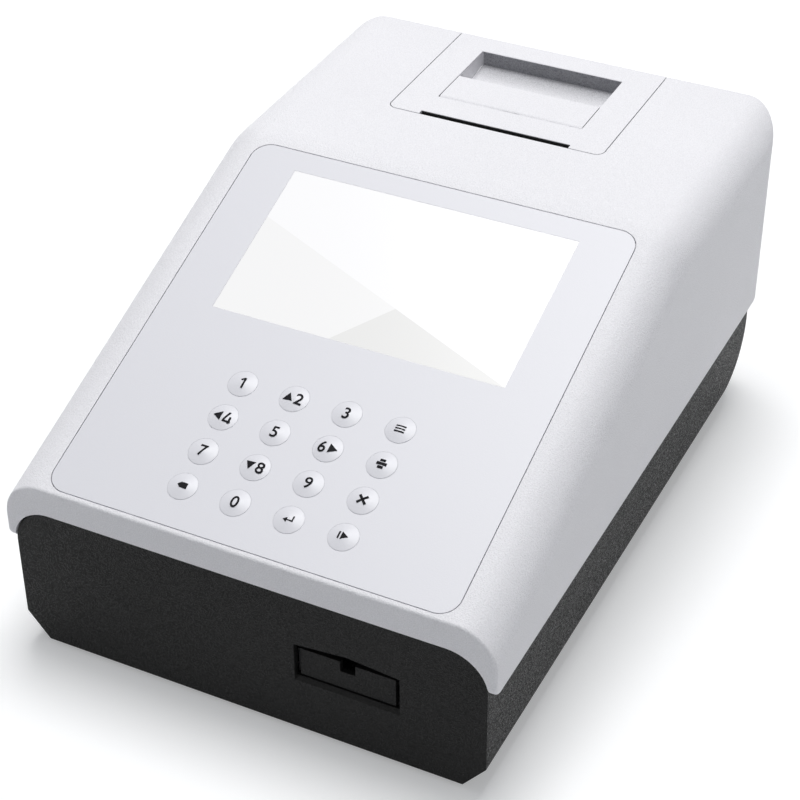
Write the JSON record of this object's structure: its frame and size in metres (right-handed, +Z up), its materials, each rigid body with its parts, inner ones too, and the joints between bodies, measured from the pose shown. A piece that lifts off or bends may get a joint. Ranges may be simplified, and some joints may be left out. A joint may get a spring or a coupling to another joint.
{
  "type": "urine analyzer",
  "caption": "Bench-top strip reader: sloped white shell with display, round keys and a printer under a lid, on a charcoal base with a motor-driven strip tray.",
  "frame": {"origin": "on the bench, under the middle of the case", "axes": "+Z up, +Y from the tray port to the rear panel, +X to the right as seen from the front"},
  "size_m": [0.1772, 0.2577, 0.1223],
  "materials": {
    "shell_white": "fine satin grain",
    "base_charcoal": "fine grain",
    "overlay_film": "printed film, satin",
    "display_glass": "clear, glossy",
    "key_plastic": "satin",
    "board_green": "solder mask",
    "inner_plastic": "as moulded",
    "dark_plastic": "as moulded",
    "nylon_white": "as moulded",
    "steel": "plain",
    "zinc_steel": "zinc plated",
    "ceramic_head": "glazed",
    "platen_rubber": "ground",
    "foot_rubber": "moulded",
    "paper": "thermal paper"
  },
  "bodies": {
    "case": {"top_cover": "shell_white", "base_shell": "base_charcoal", "panel_overlay": "overlay_film", "display_window": "display_glass", "lcd_module": "dark_plastic", "keypad_board": "board_green", "tact_switches": "dark_plastic", "tray_guide": "dark_plastic", "tray_motor": "steel", "motor_bracket": "zinc_steel", "optical_head": "dark_plastic", "sensor_board": "board_green", "paper_trough": "inner_plastic", "lid_hinge_pin": "steel", "printer_frame": "zinc_steel", "thermal_head": "ceramic_head", "head_springs": "steel", "printer_motor": "steel", "tear_bar": "nylon_white", "main_board": "board_green", "rear_board": "board_green", "power_inlet": "dark_plastic", "usb_sockets": "steel", "serial_socket": "steel", "switch_housing": "dark_plastic", "rubber_feet": "foot_rubber", "case_screws": "steel", "shelf_screws": "steel"},
    "tray": {"strip_tray": "base_charcoal", "tray_insert": "nylon_white", "tray_rack": "nylon_white"},
    "pinion": {"tray_pinion": "nylon_white"},
    "lid": {"printer_lid": "shell_white", "platen_bushes": "nylon_white", "latch_pin": "steel"},
    "flap": {"latch_flap": "shell_white", "latch_spring": "steel"},
    "platen": {"platen_roller": "platen_rubber", "platen_shaft": "steel", "platen_gear": "nylon_white"},
    "drive_gear_body": {"drive_gear": "nylon_white"},
    "motor_gear_body": {"motor_gear": "nylon_white"},
    "roll": {"paper_roll": "paper"},
    "rocker": {"rocker_key": "dark_plastic"},
    "key_1_body": {"key_1": "key_plastic"},
    "key_2_body": {"key_2": "key_plastic"},
    "key_3_body": {"key_3": "key_plastic"},
    "key_menu_body": {"key_menu": "key_plastic"},
    "key_4_body": {"key_4": "key_plastic"},
    "key_5_body": {"key_5": "key_plastic"},
    "key_6_body": {"key_6": "key_plastic"},
    "key_print_body": {"key_print": "key_plastic"},
    "key_7_body": {"key_7": "key_plastic"},
    "key_8_body": {"key_8": "key_plastic"},
    "key_9_body": {"key_9": "key_plastic"},
    "key_cancel_body": {"key_cancel": "key_plastic"},
    "key_clear_body": {"key_clear": "key_plastic"},
    "key_0_body": {"key_0": "key_plastic"},
    "key_enter_body": {"key_enter": "key_plastic"},
    "key_start_body": {"key_start": "key_plastic"}
  },
  "joints": [
    {"name": "tray_slide", "type": "slide", "parent": "case", "child": "tray", "axis": [0, -1, 0], "range_m": [0, 0.084]},
    {"name": "pinion_spin", "type": "hinge", "parent": "case", "child": "pinion", "pos_m": [0.0369, -0.0979, 0.0172], "axis": [1, 0, 0], "range_deg": [0, 535]},
    {"name": "lid_hinge", "type": "hinge", "parent": "case", "child": "lid", "pos_m": [0, 0.1209, 0.1164], "axis": [-1, 0, 0], "range_deg": [0, 85]},
    {"name": "flap_hinge", "type": "hinge", "parent": "lid", "child": "flap", "pos_m": [0, 0.0791, 0.1204], "axis": [1, 0, 0], "range_deg": [0, 25], "stiffness_Nm_per_rad": 0.02, "springref_deg": -17.19},
    {"name": "platen_spin", "type": "hinge", "parent": "lid", "child": "platen", "pos_m": [0, 0.0684, 0.1125], "axis": [1, 0, 0], "continuous": true},
    {"name": "drive_gear_spin", "type": "hinge", "parent": "case", "child": "drive_gear_body", "pos_m": [0.0339, 0.0684, 0.0965], "axis": [1, 0, 0], "continuous": true},
    {"name": "motor_gear_spin", "type": "hinge", "parent": "case", "child": "motor_gear_body", "pos_m": [0.0339, 0.054, 0.0965], "axis": [1, 0, 0], "continuous": true},
    {"name": "roll_spin", "type": "hinge", "parent": "case", "child": "roll", "pos_m": [0, 0.0928, 0.084], "axis": [1, 0, 0], "continuous": true},
    {"name": "rocker_tilt", "type": "hinge", "parent": "case", "child": "rocker", "pos_m": [0.05, 0.1239, 0.054], "axis": [0, 0, 1], "range_deg": [0, 20]},
    {"name": "key_1_press", "type": "slide", "parent": "case", "child": "key_1_body", "axis": [0, 0.3322, -0.9432], "range_m": [0, 0.0005], "stiffness_N_per_m": 500, "springref_m": -0.0003},
    {"name": "key_2_press", "type": "slide", "parent": "case", "child": "key_2_body", "axis": [0, 0.3322, -0.9432], "range_m": [0, 0.0005], "stiffness_N_per_m": 500, "springref_m": -0.0003},
    {"name": "key_3_press", "type": "slide", "parent": "case", "child": "key_3_body", "axis": [0, 0.3322, -0.9432], "range_m": [0, 0.0005], "stiffness_N_per_m": 500, "springref_m": -0.0003},
    {"name": "key_menu_press", "type": "slide", "parent": "case", "child": "key_menu_body", "axis": [0, 0.3322, -0.9432], "range_m": [0, 0.0005], "stiffness_N_per_m": 500, "springref_m": -0.0003},
    {"name": "key_4_press", "type": "slide", "parent": "case", "child": "key_4_body", "axis": [0, 0.3322, -0.9432], "range_m": [0, 0.0005], "stiffness_N_per_m": 500, "springref_m": -0.0003},
    {"name": "key_5_press", "type": "slide", "parent": "case", "child": "key_5_body", "axis": [0, 0.3322, -0.9432], "range_m": [0, 0.0005], "stiffness_N_per_m": 500, "springref_m": -0.0003},
    {"name": "key_6_press", "type": "slide", "parent": "case", "child": "key_6_body", "axis": [0, 0.3322, -0.9432], "range_m": [0, 0.0005], "stiffness_N_per_m": 500, "springref_m": -0.0003},
    {"name": "key_print_press", "type": "slide", "parent": "case", "child": "key_print_body", "axis": [0, 0.3322, -0.9432], "range_m": [0, 0.0005], "stiffness_N_per_m": 500, "springref_m": -0.0003},
    {"name": "key_7_press", "type": "slide", "parent": "case", "child": "key_7_body", "axis": [0, 0.3322, -0.9432], "range_m": [0, 0.0005], "stiffness_N_per_m": 500, "springref_m": -0.0003},
    {"name": "key_8_press", "type": "slide", "parent": "case", "child": "key_8_body", "axis": [0, 0.3322, -0.9432], "range_m": [0, 0.0005], "stiffness_N_per_m": 500, "springref_m": -0.0003},
    {"name": "key_9_press", "type": "slide", "parent": "case", "child": "key_9_body", "axis": [0, 0.3322, -0.9432], "range_m": [0, 0.0005], "stiffness_N_per_m": 500, "springref_m": -0.0003},
    {"name": "key_cancel_press", "type": "slide", "parent": "case", "child": "key_cancel_body", "axis": [0, 0.3322, -0.9432], "range_m": [0, 0.0005], "stiffness_N_per_m": 500, "springref_m": -0.0003},
    {"name": "key_clear_press", "type": "slide", "parent": "case", "child": "key_clear_body", "axis": [0, 0.3322, -0.9432], "range_m": [0, 0.0005], "stiffness_N_per_m": 500, "springref_m": -0.0003},
    {"name": "key_0_press", "type": "slide", "parent": "case", "child": "key_0_body", "axis": [0, 0.3322, -0.9432], "range_m": [0, 0.0005], "stiffness_N_per_m": 500, "springref_m": -0.0003},
    {"name": "key_enter_press", "type": "slide", "parent": "case", "child": "key_enter_body", "axis": [0, 0.3322, -0.9432], "range_m": [0, 0.0005], "stiffness_N_per_m": 500, "springref_m": -0.0003},
    {"name": "key_start_press", "type": "slide", "parent": "case", "child": "key_start_body", "axis": [0, 0.3322, -0.9432], "range_m": [0, 0.0005], "stiffness_N_per_m": 500, "springref_m": -0.0003}
  ],
  "couplings": [
    {"joint": "pinion_spin", "follows": "tray_slide", "rad_per_m": 111.11},
    {"joint": "platen_spin", "follows": "roll_spin", "ratio": 4.8},
    {"joint": "drive_gear_spin", "follows": "roll_spin", "ratio": -3.2},
    {"joint": "motor_gear_spin", "follows": "roll_spin", "ratio": 6.4}
  ]
}
